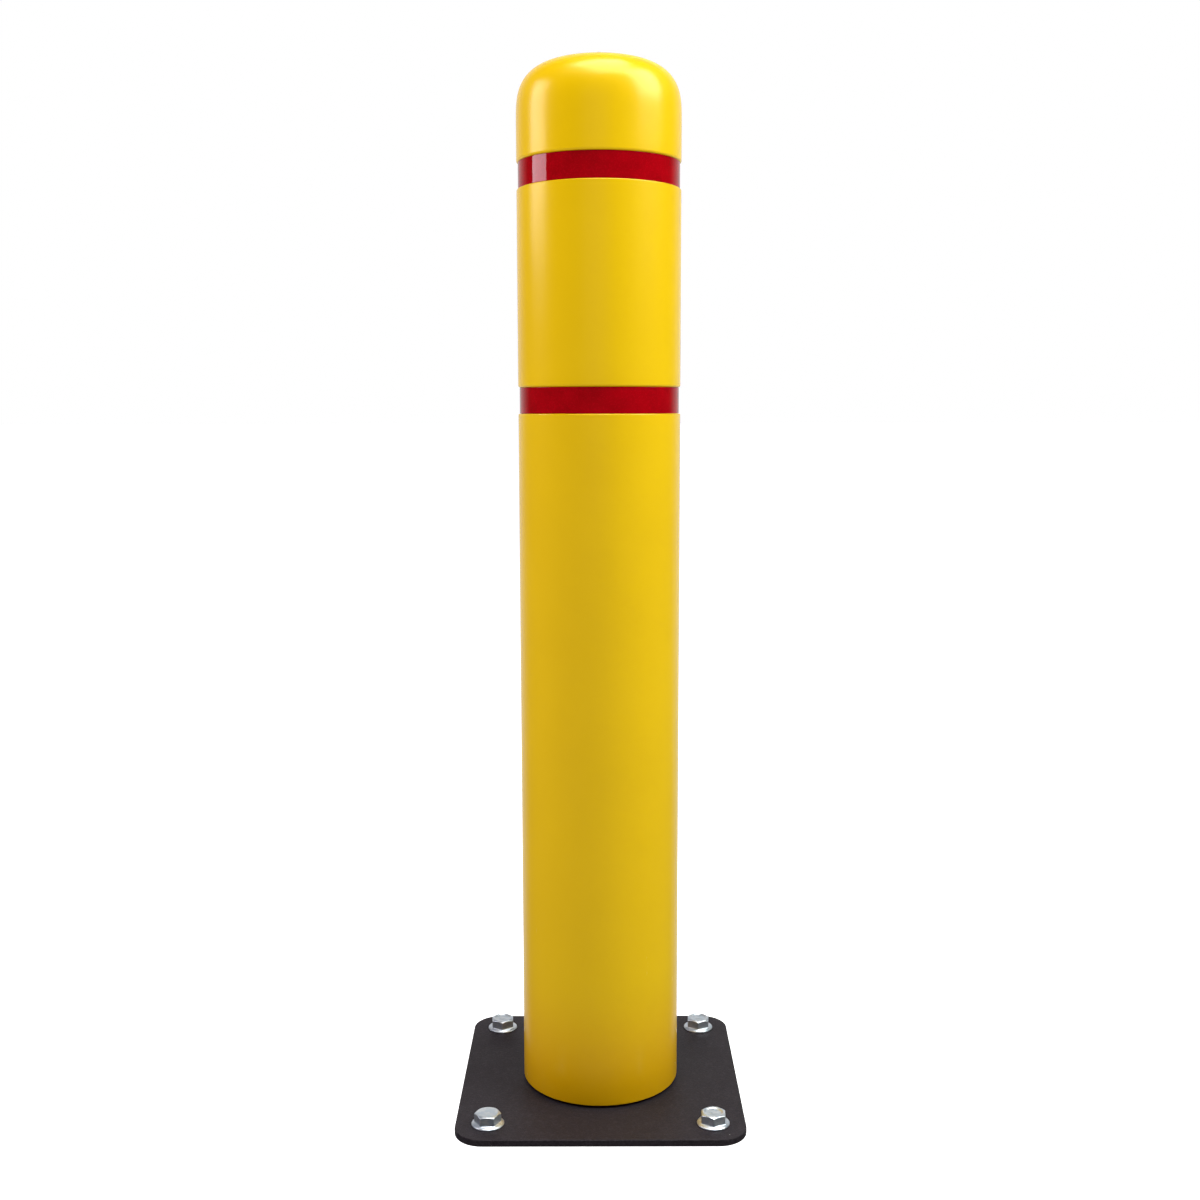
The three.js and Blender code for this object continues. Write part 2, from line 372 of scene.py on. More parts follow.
def yellow_plastic():
    """Satin moulded polyethylene: fine even grain, faint flow clouds and scuffs near the foot,
    where painted shade also turns the colour darker and more orange.
    """
    tint = rgb(1, 0.97, 0.62)
    skin = Surface("yellow_plastic", IOR=1.5, Specular_IOR_Level=0.5, Specular_Tint=tint)
    clouds = skin.ramp(skin.noise(90, detail=3), 0.35, 0.7)
    base = skin.mix(clouds, rgb(0.885, 0.565, 0.0), rgb(0.86, 0.545, 0.0))
    height = skin.separate(skin.place)[2]
    # Painted shade: below 13 cm the base colour turns darker and more orange towards the foot,
    # standing in for the shade there.
    base = skin.mix(skin.ramp(height, 0.13, 0.0), base, rgb(0.86, 0.45, 0.0))
    streaks = skin.noise(4, detail=6, roughness=0.7, place=skin.stretched((1, 1, 0.12)))
    low_down = skin.ramp(height, 0.28, 0.02)
    scuffs = skin.math("MULTIPLY", skin.ramp(streaks, 0.66, 0.78), low_down)
    base = skin.layer(base, scuffs, 0.25, rgb(0.95, 0.68, 0.12))
    base = skin.layer(base, skin.specks(14, 0.035, 0.1), 0.35, rgb(0.25, 0.17, 0.05))
    base = skin.layer(base, skin.edges(0.53, 0.62), 0.3, rgb(0.97, 0.66, 0.06))
    skin.colour(base)
    skin.gloss(0.205, (skin.noise(25), 0.05), (scuffs, 0.2), (skin.noise(1.2, detail=2), 0.03))
    skin.bump(skin.noise(1.6, detail=2), 0.025)
    skin.bump(skin.noise(0.35, detail=2), 0.012)
    skin.bump(skin.noise(45, detail=1), 0.12)
    return skin.material


def red_tape():
    """Retroreflective film: a bead layer that glitters under a clear, slightly wavy face."""
    gloss_inputs = {"Coat_Weight": 0.8, "Coat_Roughness": 0.05, "Specular_IOR_Level": 0.0}
    film = Surface("red_reflective_tape", **gloss_inputs)
    wander = film.ramp(film.noise(14, detail=3), 0.3, 0.7)
    deep = film.mix(wander, rgb(0.32, 0.0, 0.003), rgb(0.39, 0.0, 0.004))
    beads = film.separate(film.cells(0.9, output="Color"))[0]
    film.colour(film.layer(deep, film.ramp(beads, 0.55, 1.0), 0.3, rgb(0.62, 0.002, 0.012)))
    film.gloss(0.42, (beads, 0.12))
    wavy = film.noise(9, detail=2, place=film.stretched((1, 1, 0.5)))
    film.bump(wavy, 0.05, socket="Coat Normal")
    film.bump(film.cells(0.9), 0.02)
    return film.material


def black_powder_coat():
    """Matte powder coat: fine orange peel, speckled, rubbed on the edges, with a little dust."""
    tint = rgb(1, 0.92, 1)
    coat = Surface("black_powder_coat", Specular_IOR_Level=0.2, Specular_Tint=tint)
    clouds = coat.noise(30, detail=5)
    base = coat.mix(clouds, rgb(0.0095, 0.0075, 0.0095), rgb(0.015, 0.012, 0.015))
    grain = coat.ramp(coat.noise(0.8, detail=2, roughness=0.6), 0.5, 0.7)
    base = coat.mix(grain, base, rgb(0.04, 0.032, 0.038))
    speckle = coat.ramp(coat.noise(2.6, detail=3, roughness=0.7), 0.5, 0.66)
    base = coat.layer(base, speckle, 0.6, rgb(0.034, 0.027, 0.034))
    rubbed = coat.math("MULTIPLY", coat.edges(0.51, 0.58), coat.ramp(coat.noise(6), 0.3, 0.6))
    base = coat.layer(base, rubbed, 0.5, rgb(0.10, 0.095, 0.1))
    base = coat.layer(base, coat.specks(22, 0.03, 0.16), 0.7, rgb(0.38, 0.36, 0.33))
    coat.colour(base)
    coat.gloss(0.5, (coat.noise(40, detail=5), 0.12), (rubbed, -0.12))
    coat.bump(coat.noise(2.2, detail=2), 0.12)
    coat.bump(coat.noise(1.1, detail=2), 0.11)
    coat.bump(coat.noise(0.4, detail=1), 0.03)
    return coat.material


def zinc_plate():
    """Bright bluish zinc on forged steel: colour clouds, pits, rubbed corners, fine scratches."""
    plating = Surface("zinc_plated_steel", Metallic=0.82)
    clouds = plating.noise(5, detail=4)
    tone = plating.ramp(clouds, 0.35, 0.65)
    base = plating.mix(tone, rgb(0.54, 0.61, 0.68), rgb(0.68, 0.71, 0.74))
    pits = plating.ramp(plating.noise(1.1, detail=5, roughness=0.7), 0.62, 0.8)
    base = plating.layer(base, pits, 0.5, rgb(0.34, 0.37, 0.40))
    rubbed = plating.edges(0.53, 0.62)
    base = plating.layer(base, rubbed, 0.6, rgb(0.80, 0.82, 0.84))
    plating.colour(base)
    plating.gloss(0.28, (clouds, 0.12), (pits, 0.12), (rubbed, -0.06))
    along = plating.stretched((1, 1, 0.1))
    plating.bump(plating.noise(0.5, detail=3, roughness=0.7, place=along), 0.008)
    plating.bump(plating.noise(2.2, detail=3), 0.025)
    return plating.material


def black_oxide():
    """Oiled black oxide on turned steel, rubbed to grey on the edges."""
    oxide = Surface("black_oxide_steel", Metallic=0.85)
    base = oxide.mix(oxide.noise(4, detail=5), rgb(0.035, 0.035, 0.038), rgb(0.07, 0.068, 0.07))
    rubbed = oxide.edges(0.54, 0.64)
    oxide.colour(oxide.layer(base, rubbed, 0.5, rgb(0.3, 0.3, 0.31)))
    oxide.gloss(0.32, (oxide.noise(2), 0.15), (rubbed, -0.06))
    oxide.bump(oxide.noise(0.5, detail=3), 0.015)
    return oxide.material


def bare_steel():
    """Plain steel with machining marks and a little heat tint."""
    steel = Surface("bare_steel", Metallic=1.0)
    base = steel.mix(steel.noise(5, detail=4), rgb(0.33, 0.33, 0.34), rgb(0.42, 0.38, 0.34))
    steel.colour(steel.mix(steel.edges(), base, rgb(0.6, 0.6, 0.6)))
    steel.gloss(0.36, (steel.noise(1.5), 0.2))
    steel.bump(steel.noise(0.6, detail=3, place=steel.stretched((1, 1, 6))), 0.02)
    return steel.material


def spacer_foam():
    """Closed-cell foam: a dull skin dimpled by its cells, with painted shade in the dimples."""
    foam = Surface("spacer_foam", IOR=1.4, Sheen_Weight=0.1, Sheen_Roughness=0.6)
    cell_mm = 1.1
    # Painted shade: the cell hollows, dimpled by the bump below, are coloured darker than the walls
    # between them.
    walls = foam.ramp(foam.cells(cell_mm), 0.2, 0.7)
    base = foam.mix(walls, rgb(0.028, 0.029, 0.031), rgb(0.062, 0.063, 0.066))
    foam.colour(foam.layer(base, foam.noise(12), 0.4, rgb(0.08, 0.08, 0.083)))
    foam.gloss(0.82, (foam.noise(3), 0.12))
    foam.bump(foam.cells(cell_mm, feature="SMOOTH_F1"), 0.25)
    foam.bump(foam.noise(0.4), 0.04)
    return foam.material


materials = {
    "yellow_plastic": yellow_plastic(),
    "red_reflective_tape": red_tape(),
    "black_powder_coat": black_powder_coat(),
    "zinc_plated_steel": zinc_plate(),
    "black_oxide_steel": black_oxide(),
    "bare_steel": bare_steel(),
    "spacer_foam": spacer_foam(),
}


def stand_for(piece, node):
    """The piece takes the CAD node's place: its body, its material slot and its finish."""
    slot = slot_of[node]
    piece.data.materials.append(materials[slot])
    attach(piece, frame["nodes"][node]["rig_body"])
    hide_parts(node)


# ---------------------------------------------------------------- base plate


def plate_outline(inset, corner_steps=16):
    """The plate's outline moved in by inset."""
    centre = plate_high.x - PLATE_CORNER_RADIUS_MM
    radius = PLATE_CORNER_RADIUS_MM - inset
    centres = [(centre, centre), (-centre, centre), (-centre, -centre), (centre, -centre)]
    points = []
    for quarter, (x, y) in enumerate(centres):
        for k in range(corner_steps + 1):
            angle = (quarter + k / corner_steps) * TAU / 4
            points.append((x + radius * math.cos(angle), y + radius * math.sin(angle)))
    return points


def hole_outline(x, y, inset, around=48):
    """An anchor hole's outline; inset widens it, as it narrows the plate."""
    radius = ANCHOR_HOLE_RADIUS_MM + inset
    angles = [TAU * k / around for k in range(around)]
    return [(x + radius * math.cos(angle), y + radius * math.sin(angle)) for angle in angles]


def edge_levels(steps=4):
    """(inset, z) up the rounded lower edge and over the rounded upper one."""
    levels = []
    for k in range(steps + 1):
        angle = QUARTER * k / steps
        inset = PLATE_EDGE_ROUND_MM * (1 - math.sin(angle))
        levels.append((inset, PLATE_EDGE_ROUND_MM * (1 - math.cos(angle))))
    for k in range(steps + 1):
        angle = QUARTER * k / steps
        inset = PLATE_EDGE_ROUND_MM * (1 - math.cos(angle))
        levels.append((inset, PLATE_TOP_MM - PLATE_EDGE_ROUND_MM * (1 - math.sin(angle))))
    return levels


def plate_body():
    """The plate: a skin of strips round each outline, and two flat faces between them."""
    anchor_low, anchor_high = cad_box("anchor_front_right")
    reach = (anchor_low.x + anchor_high.x) / 2
    levels = edge_levels()
    stacks = [[plate_outline(inset) for inset, _ in levels]]
    for x in (-reach, reach):
        for y in (-reach, reach):
            stacks.append([hole_outline(x, y, inset) for inset, _ in levels])

    mesh = bmesh.new()
    flat_faces = ([], [])
    for stack in stacks:
        rows = [
            [mesh.verts.new(Vector((x, y, z)) * MM) for x, y in outline]
            for outline, (_, z) in zip(stack, levels)
        ]
        count = len(rows[0])
        for lower, upper in zip(rows, rows[1:]):
            for i in range(count):
                j = (i + 1) % count
                mesh.faces.new([lower[i], lower[j], upper[j], upper[i]])
        for edges, row in zip(flat_faces, (rows[0], rows[-1])):
            edges.extend(mesh.edges.get((row[i], row[(i + 1) % count])) for i in range(count))
    for edges in flat_faces:
        bmesh.ops.triangle_fill(mesh, use_beauty=True, use_dissolve=False, edges=edges)
    return finish_mesh("plate_body", mesh)


stand_for(plate_body(), "base_plate")


# ---------------------------------------------------------------- steel post


def pipe_body():
    bore = PIPE_RADIUS_MM - PIPE_WALL_MM
    corners = [
        (bore, pipe_low.z, 0.6),
        (PIPE_RADIUS_MM, pipe_low.z, 0.6),
        (PIPE_RADIUS_MM, pipe_high.z, 1.2),
        (bore, pipe_high.z, 0.8),
    ]
    return turned("pipe_body", stepped(rounded(corners), 40))


def weld_bead(name, node, wall_radius, around=480, face_steps=8):
    """A fillet bead with the crescent ripples of its passes, in the corner at wall_radius."""
    low, high = cad_box(node)
    leg = high.z - low.z
    ripples = round(TAU * wall_radius / WELD_RIPPLE_MM)
    crescent, valley, ripple, belly = 0.9, 0.93, 0.07, 0.22
    rings = []
    for i in range(around):
        angle = TAU * i / around
        section = [(0.0, 0.0), (leg * 0.5, 0.0)]
        for k in range(face_steps + 1):
            across = k / face_steps
            arch = math.sin(math.pi * across)
            wave = abs(math.sin((angle * ripples / 2) - crescent * arch)) ** 0.7
            swell = valley + ripple * wave
            bulge = 1 + belly * arch
            section.append((leg * swell * (1 - across) * bulge, leg * swell * across * bulge))
        section.append((0.0, leg * 0.5))
        rings.append([polar(wall_radius + out, angle, low.z + up) for out, up in section])
    return loft(name, rings, wrap=True)


def cap_disc():
    corners = [
        (SCREW_HOLE_RADIUS_MM, cap_low.z, 0.5),
        (cap_high.x, cap_low.z, 0.8),
        (cap_high.x, cap_high.z, 0.8),
        (SCREW_HOLE_RADIUS_MM, cap_high.z, 0.6),
    ]
    return turned("cap_disc", stepped(rounded(corners), 12))


def nut_body(rows=48):
    """A hexagon nut with chamfered ends and a threaded bore."""
    low, high = cad_box("weld_nut")
    width = high.y - low.y
    corner_reach = (high.x - low.x) / 2 - width / 2
    face = width / 2 - 0.3
    slope = 0.55
    bore, thread_depth, pitch = 4.3, 0.35, 1.25
    lead_in = 0.4
    mouth = bore + 0.5
    outline = rounded_hexagon(width, 0.4)
    rings = [
        round_ring(outline, mouth, low.z),
        round_ring(outline, face, low.z),
        hex_ring(outline, lambda radius: low.z + (radius - face) * slope),
        hex_ring(outline, lambda radius: high.z - (radius - face) * slope),
        round_ring(outline, face, high.z),
        round_ring(outline, mouth, high.z),
    ]
    turns = (high.z - low.z - corner_reach) / pitch
    for k in range(rows + 1):
        z = high.z - lead_in - (high.z - low.z - 2 * lead_in) * k / rows
        ring = []
        for angle, _ in outline:
            phase = (turns * k / rows - angle / TAU) % 1
            ring.append(polar(bore + thread_depth * abs(2 * phase - 1), angle, z))
        rings.append(ring)
    return loft("nut_body", rings, wrap=True)


stand_for(pipe_body(), "pipe_post")
stand_for(weld_bead("base_weld_bead", "base_weld", PIPE_RADIUS_MM + HAIR_GAP_MM), "base_weld")
stand_for(cap_disc(), "pipe_cap")
stand_for(weld_bead("cap_weld_bead", "cap_weld", cap_high.x + HAIR_GAP_MM), "cap_weld")
stand_for(nut_body(), "weld_nut")


# ---------------------------------------------------------------- foam spacers


def pad_heights(length, end_steps=5, middle_steps=30):
    """Heights up a pad, close together where its ends are rounded."""
    edge = FOAM_EDGE_ROUND_MM
    foot = [edge * (1 - math.cos(QUARTER * k / end_steps)) for k in range(end_steps + 1)]
    straight = length - 2 * edge
    middle = [edge + straight * k / middle_steps for k in range(1, middle_steps)]
    return foot + middle + [length - height for height in foot[::-1]]


def foam_pad(name, node, angle):
    """A cut strip bent round the pipe, with soft edges and a slightly uneven face."""
    low, high = cad_box(node)
    length = high.z - low.z
    edge = FOAM_EDGE_ROUND_MM
    inner = PIPE_RADIUS_MM + HAIR_GAP_MM
    outer = cad_box("foam_strip_lower_right")[1].x
    glued_round, glued_shrink, glued_depth = 0.3, 0.6, 3
    unevenness = 0.12
    rings = []
    for up in pad_heights(length):
        from_end = min(up, length - up)
        shrink = edge - math.sqrt(max(0.0, edge**2 - max(0.0, edge - from_end) ** 2))
        width = FOAM_HALF_WIDTH_MM - shrink
        foot = inner + min(shrink, glued_shrink)
        corners = [
            (-width, foot, glued_round),
            (width, foot, glued_round),
            (width, outer - shrink, edge),
            (-width, outer - shrink, edge),
        ]
        ring = []
        for across, radius in stepped(rounded(corners, steps=4), 2.5):
            waves = math.sin(across * 0.55 + up * 0.13), math.sin(up * 0.21 + across * 0.3)
            uneven = unevenness * waves[0] * waves[1]
            radius = radius - abs(uneven) if radius > inner + glued_depth else radius
            ring.append(polar(radius, angle + across / inner, low.z + up))
        rings.append(ring)
    return loft(name, rings)


for side, angle in {"front": -TAU / 4, "right": 0.0, "rear": TAU / 4, "left": TAU / 2}.items():
    for level in ("lower", "upper"):
        node = f"foam_strip_{level}_{side}"
        stand_for(foam_pad(f"foam_pad_{level}_{side}", node, angle), node)


# ---------------------------------------------------------------- cover and tapes


def dome_path(radius, rise, inner_radius, steps=56):
    """The superellipse dome from its spring line in to inner_radius."""
    spring = COVER_TOP_MM - DOME_RISE_MM
    power = 2 / DOME_EXPONENT
    last = math.acos((inner_radius / radius) ** (1 / power))
    path = []
    for k in range(steps + 1):
        angle = last * k / steps
        path.append((radius * math.cos(angle) ** power, spring + rise * math.sin(angle) ** power))
    return path


def groove_corners(tape_node):
    low, high = cad_box(tape_node)
    foot, top = low.z - TOUCH_GAP_MM, high.z + TOUCH_GAP_MM
    floor = COVER_RADIUS_MM - GROOVE_DEPTH_MM
    foot_lip, top_lip, root = 0.9, 1.9, 0.15
    return [
        (COVER_RADIUS_MM, foot, foot_lip),
        (floor, foot, root),
        (floor, top, root),
        (COVER_RADIUS_MM, top, top_lip),
    ]


def cover_shell():
    bore = COVER_RADIUS_MM - COVER_WALL_MM
    boss_foot = cap_high.z + TOUCH_GAP_MM
    hole_edge, boss_root_drop, boss_root = 1, 1.2, 2
    outside = dome_path(COVER_RADIUS_MM, DOME_RISE_MM, SCREW_HOLE_RADIUS_MM + hole_edge)
    inside = dome_path(bore, DOME_RISE_MM - COVER_WALL_MM, BOSS_RADIUS_MM + boss_root)[::-1]
    corners = [
        (bore, cover_low.z, 0.8),
        (COVER_RADIUS_MM, cover_low.z, 1.2),
        *groove_corners("lower_reflective_tape"),
        *groove_corners("upper_reflective_tape"),
        *outside,
        (SCREW_HOLE_RADIUS_MM, COVER_TOP_MM, 0.5),
        (SCREW_HOLE_RADIUS_MM, boss_foot, 0.5),
        (BOSS_RADIUS_MM, boss_foot, 0.8),
        (BOSS_RADIUS_MM, inside[0][1] - boss_root_drop),
        *inside,
    ]
    return turned("cover_shell", stepped(rounded(corners), 25))


def tape_film(name, node, around=256):
    """One turn of film laid in the groove from the back, its end lapped over its start."""
    low, high = cad_box(node)
    inner = COVER_RADIUS_MM - GROOVE_DEPTH_MM + TOUCH_GAP_MM
    outer = inner + TAPE_THICKNESS_MM
    lap, lift_start, lift_end, lap_gap = 0.22, TAU - 0.09, TAU - 0.01, 0.02
    corners = [
        (inner, low.z, 0.1),
        (outer, low.z, 0.2),
        (outer, high.z, 0.2),
        (inner, high.z, 0.1),
    ]
    section = stepped(rounded(corners, steps=3), 3)
    rings = []
    for i in range(around + 1):
        angle = (TAU + lap) * i / around
        lift = (TAPE_THICKNESS_MM + lap_gap) * smoothstep(lift_start, lift_end, angle)
        turn = angle + TAU / 4 - lap / 2
        rings.append([polar(radius + lift, turn, z) for radius, z in section])
    return loft(name, rings)


stand_for(cover_shell(), "cover_sleeve")
stand_for(tape_film("upper_tape_film", "upper_reflective_tape"), "upper_reflective_tape")
stand_for(tape_film("lower_tape_film", "lower_reflective_tape"), "lower_reflective_tape")


# ---------------------------------------------------------------- cover screw


def screw_washer():
    low, high = cad_box("cover_screw_washer")
    corners = [
        (SCREW_HOLE_RADIUS_MM, low.z, 0.2),
        (high.x, low.z, 0.3),
        (high.x, high.z, 0.4),
        (SCREW_HOLE_RADIUS_MM, high.z, 0.2),
    ]
    return turned("screw_washer", rounded(corners), around=96)


def thread_radius(core, crest, pitch, angle, z):
    """Radius of a single-start V thread."""
    phase = (z / pitch - angle / TAU) % 1
    return core + (crest - core) * max(0.0, 1 - abs(2 * phase - 1) * 1.15)


def screw_thread(outline, rows=260):
    """Rings up the threaded shank, its thread fading out at both ends."""
    tip, seat = screw_low.z, screw_high.z - SCREW_HEAD_HEIGHT_MM
    crest, core, pitch = 4.0, 3.4, 1.25
    point, plain = 0.5, 1.2
    run_in, run_out, run_out_gap = 2.2, 2.0, 1.0
    rings = [[(0, 0, tip)], round_ring(outline, core - point, tip)]
    for k in range(rows + 1):
        z = tip + point + (seat - plain - tip - point) * k / rows
        fade = smoothstep(0, run_in, z - tip) * smoothstep(0, run_out, seat - run_out_gap - z)
        ring = []
        for angle, _ in outline:
            ridge = thread_radius(core, crest, pitch, angle, z) - core
            ring.append(polar(core + ridge * fade, angle, z))
        rings.append(ring)
    return rings


def button_screw():
    """A button head with a hexagon socket, on a threaded shank."""
    top = screw_high.z
    seat = top - SCREW_HEAD_HEIGHT_MM
    head = screw_high.x
    outline = rounded_hexagon(SOCKET_WIDTH_MM, 0.25, fillet_steps=3)
    rings = screw_thread(outline)
    rings.append(round_ring(outline, 3.98, seat - 0.5))
    rings.append(round_ring(outline, 4.1, seat))
    rim = 0.5
    for inset, up in ((rim, 0), (0.12, 0.15), (0, rim)):
        rings.append(round_ring(outline, head - inset, seat + up))
    steps = 14
    rise = SCREW_HEAD_HEIGHT_MM - rim
    for k in range(1, steps - 1):
        angle = QUARTER * k / steps
        z = seat + rim + rise * math.sin(angle)
        rings.append(round_ring(outline, head * math.cos(angle), z))
    for inset, depth in ((-0.25, 0.05), (0.0, 0.35), (0.0, 2.5), (0.3, 2.7)):
        rings.append(hex_ring(outline, lambda _: top - depth, inset))
    rings.append([(0, 0, top - 3.1)])
    return loft("button_screw", rings)


stand_for(screw_washer(), "cover_screw_washer")
stand_for(button_screw(), "cover_screw")


# ---------------------------------------------------------------- screw anchors


def anchor_thread_ring(outline, z, above_tip, fade):
    """A ring of the helical cutting thread, its crest notched like a saw near the tip."""
    sharpness, notch_depth, notches = 9, 0.18, 12
    ring = []
    for angle, _ in outline:
        phase = (z / ANCHOR_PITCH_MM - angle / TAU) % 1
        ridge = max(0.0, 1 - abs(phase - 0.5) * sharpness) ** 0.8
        notch = 0.5 + 0.5 * math.sin(angle * notches)
        saw = 1 - notch_depth * notch * smoothstep(40, 20, above_tip)
        radius = ANCHOR_CORE_MM + (ANCHOR_CREST_MM - ANCHOR_CORE_MM) * ridge * fade * saw
        ring.append(polar(radius, angle, z))
    return ring


def anchor_shank(outline, tip, seat, rows=190):
    """Rings from the tip up to the underside of the flange."""
    core = ANCHOR_CORE_MM
    point = 2.6
    thread_top = seat - ANCHOR_NECK_MM
    rings = [[(0, 0, tip)]]
    rings.append(round_ring(outline, core - 2.2, tip))
    rings.append(round_ring(outline, core - 1.2, tip + 1))
    for k in range(rows + 1):
        z = tip + point + (thread_top - tip - point) * k / rows
        fade = smoothstep(0, 5, z - tip) * smoothstep(0, 3, thread_top - z)
        rings.append(anchor_thread_ring(outline, z, z - tip, fade))
    for out, down in ((0, 1.0), (0.5, 0.15), (1.2, 0)):
        rings.append(round_ring(outline, core + out, seat - down))
    return rings


def anchor_flange(outline, flange, seat):
    """Rings round the flange's rim and up its dished top to the hexagon's foot."""
    profile = ((0.5, 0), (0.12, 0.15), (0, 0.5), (0.05, 1.0), (0.35, 1.35), (0.9, 1.55))
    rings = [round_ring(outline, flange - inset, seat + up) for inset, up in profile]
    corner = ANCHOR_HEXAGON_MM / math.sqrt(3)
    flange_top = seat + 2.5
    rings.append(round_ring(outline, corner + 0.5, flange_top - 0.15))
    rings.append(hex_ring(outline, lambda _: flange_top + 0.05, inset=-0.35))
    rings.append(hex_ring(outline, lambda _: flange_top + 0.6))
    return rings


def anchor_head_top(outline, top, recessed):
    """Rings over the hexagon's chamfer and across its plain or recessed top."""
    face = ANCHOR_HEXAGON_MM / 2 - 0.5

    def chamfer(radius):
        return top - 0.25 - (radius - face) * ANCHOR_CHAMFER_SLOPE

    rings = [
        hex_ring(outline, lambda radius: chamfer(radius) - 0.45),
        hex_ring(outline, lambda radius: chamfer(radius) - 0.15, inset=0.08),
        hex_ring(outline, lambda radius: chamfer(radius) + 0.12, inset=0.45),
    ]
    if recessed:
        lip = ((0.3, 0.08), (0.9, 0), (1.5, 0.05), (2.0, 0.45), (2.6, 0.95), (3.3, 1.1))
        rings += [round_ring(outline, face - inset, top - down) for inset, down in lip]
        floor = ((3.6, 1.15), (3.1, 0.85), (2.2, 0.7), (1.0, 0.66))
        rings += [round_ring(outline, radius, top - down) for radius, down in floor]
        rings.append([(0, 0, top - 0.65)])
        return rings
    rings.append(round_ring(outline, face - 0.4, top - 0.2))
    rings.append(round_ring(outline, face - 1.4, top - 0.1))
    rings.append(round_ring(outline, face * 0.6, top - 0.03))
    rings.append(round_ring(outline, face * 0.3, top))
    rings.append([(0, 0, top)])
    return rings


def anchor_bolt(place, turn_degrees, recessed):
    """A screw anchor: helical cutting thread, dished flange and chamfered hexagon."""
    node = f"anchor_{place}"
    low, high = cad_box(node)
    middle = (low + high) / 2
    seat = PLATE_TOP_MM + ANCHOR_SEAT_GAP_MM
    outline = rounded_hexagon(ANCHOR_HEXAGON_MM, 0.7, flat_steps=5, fillet_steps=5)
    rings = anchor_shank(outline, low.z, seat)
    rings += anchor_flange(outline, (high.x - low.x) / 2, seat)
    rings += anchor_head_top(outline, high.z, recessed)
    piece = loft(f"anchor_bolt_{place}", rings)
    spin = Matrix.Rotation(math.radians(turn_degrees), 4, "Z")
    piece.data.transform(Matrix.Translation((middle.x * MM, middle.y * MM, 0)) @ spin)
    stand_for(piece, node)


anchor_bolt("front_left", 1, recessed=False)
anchor_bolt("front_right", 27, recessed=True)
anchor_bolt("rear_left", 33, recessed=True)
anchor_bolt("rear_right", 26, recessed=True)


# ---------------------------------------------------------------- studio

FLOOR_SIZE = 60
FILL_ABOVE = 0.04
FILL_BELOW = 0.9
FILL_COLOUR = rgb(1, 0.95, 0.97)
HORIZON_BLEND = 0.12
BACKDROP_FILL = 0.15
BACKDROP_FILL_EDGE = 0.4
BACKDROP_REFLECTION = 0.85
BACKDROP_REFLECTION_EDGE = 0.45
ROOM_REFLECTION = 0.04

# Each lamp's place, the point it aims at and its size, all in metres.
KEY_RIGHT = ((1.55, -0.42, 2.03), (0, 0, 1.1), (1.3, 1.5))
LEFT_BOX = ((-2.0, 0.07, 1.57), (0, 0.07, 1.5), (1.0, 1.1))
OVERHEAD = ((-0.35, -0.58, 2.9), (0, -0.2, 0.9), (1.7, 1.95))
OVERHEAD_GLINT = ((0.25, -0.58, 2.9), (0.1, -0.3, 0.9), (1.7, 1.95))
FRONT_FILL = ((-0.2, -2.6, 1.3), (0, 0, 0.7), (1.5, 1.5))
KEY_COLOUR = (0.94, 1, 0.95)
LEFT_COLOUR = (0.98, 0.92, 1)
OVERHEAD_COLOUR = (1, 0.96, 0.98)
WHITE = (1, 1, 1)

SENSOR_MM = 36
LENS_MM = 43.1
CAMERA_PLACE = (0.0003, -1.2813, 0.6246)
CAMERA_LOOKS_DOWN_DEGREES = 7.573
CAMERA_ROLL_DEGREES = -0.1
CAMERA_REACH = 100


def pale_floor():
    """A floor that glows, so it stays pale to the horizon, and lights nothing on the object."""
    mesh = bmesh.new()
    bmesh.ops.create_grid(mesh, x_segments=8, y_segments=8, size=FLOOR_SIZE)
    data = bpy.data.meshes.new("floor")
    mesh.to_mesh(data)
    mesh.free()
    floor = bpy.data.objects.new("floor", data)
    bpy.context.scene.collection.objects.link(floor)
    glow = {"Emission_Color": rgb(1, 1, 1), "Emission_Strength": 1.0}
    finish = Surface("pale_floor", Specular_IOR_Level=0.1, **glow)
    tone = finish.ramp(finish.noise(700, detail=6), 0.3, 0.7)
    finish.colour(finish.mix(tone, rgb(0.80, 0.80, 0.80), rgb(0.83, 0.83, 0.828)))
    finish.gloss(0.7, (finish.noise(60), 0.1))
    data.materials.append(finish.material)
    floor.visible_diffuse = False
    floor.visible_glossy = False


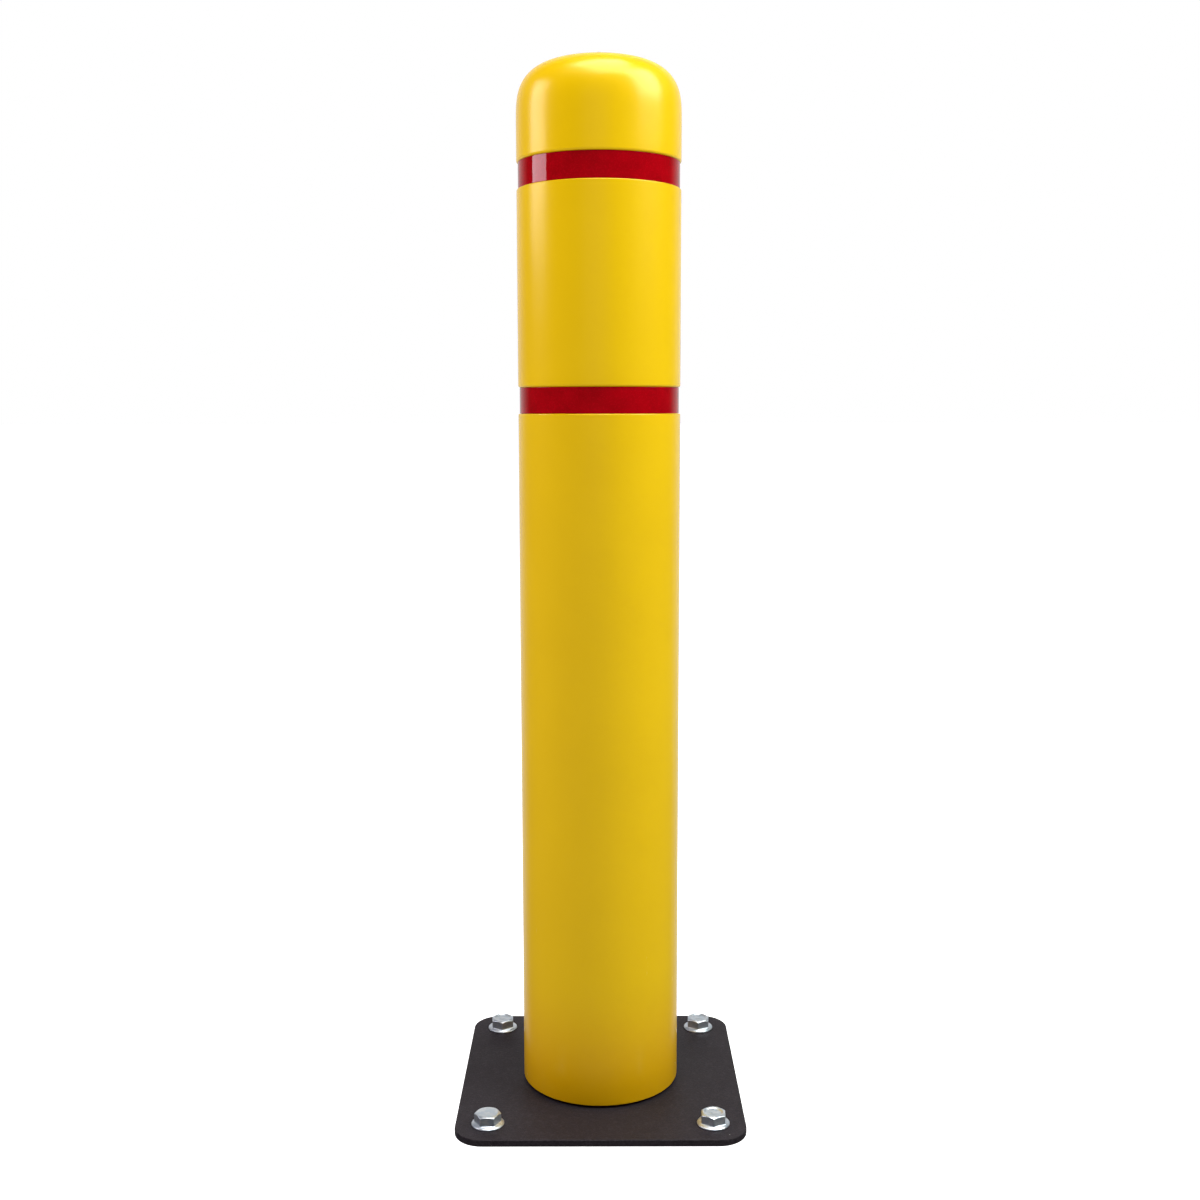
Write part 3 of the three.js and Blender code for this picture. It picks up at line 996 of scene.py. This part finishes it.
class Studio(Nodes):
    """The world round the object.

    It is white to the eye and a soft fill as light. To gloss it is a dark room with a pale back.
    """

    def __init__(self):
        world = bpy.data.worlds.new("studio")
        bpy.context.scene.world = world
        world.use_nodes = True
        super().__init__(world.node_tree)
        self.tree.nodes.clear()
        direction = self.separate(self.node("ShaderNodeTexCoord").outputs["Generated"])
        path = self.node("ShaderNodeLightPath").outputs
        light = self.fill(direction["Y"], direction["Z"])
        gloss = self.reflection(direction["Y"])
        lit = self.either(path["Is Glossy Ray"], light, gloss)
        seen = self.either(path["Is Camera Ray"], lit, self.glow(1.0))
        output = self.node("ShaderNodeOutputWorld")
        self.feed(output.inputs["Surface"], seen)

    def fill(self, back, up):
        """The light that matte surfaces get: more from below than above, and some from behind."""
        upright = self.blend(up, -HORIZON_BLEND, HORIZON_BLEND, FILL_BELOW, FILL_ABOVE)
        behind = self.blend(back, 0.0, BACKDROP_FILL_EDGE, 0.0, BACKDROP_FILL)
        return self.glow(self.math("ADD", upright, behind), FILL_COLOUR)

    def reflection(self, back):
        """What gloss shows: a dark room that turns pale behind the object."""
        pale = (ROOM_REFLECTION, BACKDROP_REFLECTION)
        return self.glow(self.blend(back, BACKDROP_REFLECTION_EDGE, 1.0, *pale))

    def glow(self, strength, colour=rgb(1, 1, 1)):
        made = self.node("ShaderNodeBackground")
        self.feed(made.inputs["Color"], colour)
        self.feed(made.inputs["Strength"], strength)
        return made.outputs[0]

    def either(self, choice, no, yes):
        made = self.node("ShaderNodeMixShader")
        for socket, value in zip(made.inputs, (choice, no, yes)):
            self.feed(socket, value)
        return made.outputs[0]


def softbox(name, layout, power, colour, diffuse=True, glossy=True):
    """A rectangular lamp. Without diffuse it shows only as a reflection; without glossy, never."""
    place, aim, size = layout
    light = bpy.data.lights.new(name, "AREA")
    light.shape = "RECTANGLE"
    light.size, light.size_y = size
    light.energy = power
    light.color = colour
    lamp = bpy.data.objects.new(name, light)
    bpy.context.scene.collection.objects.link(lamp)
    lamp.location = place
    lamp.visible_diffuse = diffuse
    lamp.visible_glossy = glossy
    lamp.rotation_euler = (Vector(aim) - Vector(place)).to_track_quat("-Z", "Y").to_euler()


def camera():
    data = bpy.data.cameras.new("camera")
    data.sensor_width = SENSOR_MM
    data.lens = LENS_MM
    data.clip_end = CAMERA_REACH
    view = bpy.data.objects.new("camera", data)
    bpy.context.scene.collection.objects.link(view)
    place = Matrix.Translation(CAMERA_PLACE)
    tilt = Matrix.Rotation(math.radians(90 - CAMERA_LOOKS_DOWN_DEGREES), 4, "X")
    roll = Matrix.Rotation(math.radians(CAMERA_ROLL_DEGREES), 4, "Z")
    view.matrix_world = place @ tilt @ roll
    bpy.context.scene.camera = view


pale_floor()
Studio()
softbox("key_right", KEY_RIGHT, 47, KEY_COLOUR)
softbox("key_right_glint", KEY_RIGHT, 34, WHITE, diffuse=False)
softbox("left_box", LEFT_BOX, 20, LEFT_COLOUR)
softbox("left_wash", LEFT_BOX, 5, LEFT_COLOUR, glossy=False)
softbox("overhead", OVERHEAD, 44, OVERHEAD_COLOUR, glossy=False)
softbox("overhead_glint", OVERHEAD_GLINT, 72, WHITE, diffuse=False)
softbox("front_fill", FRONT_FILL, 7, WHITE, glossy=False)
camera()
bpy.context.scene.view_settings.view_transform = "Standard"
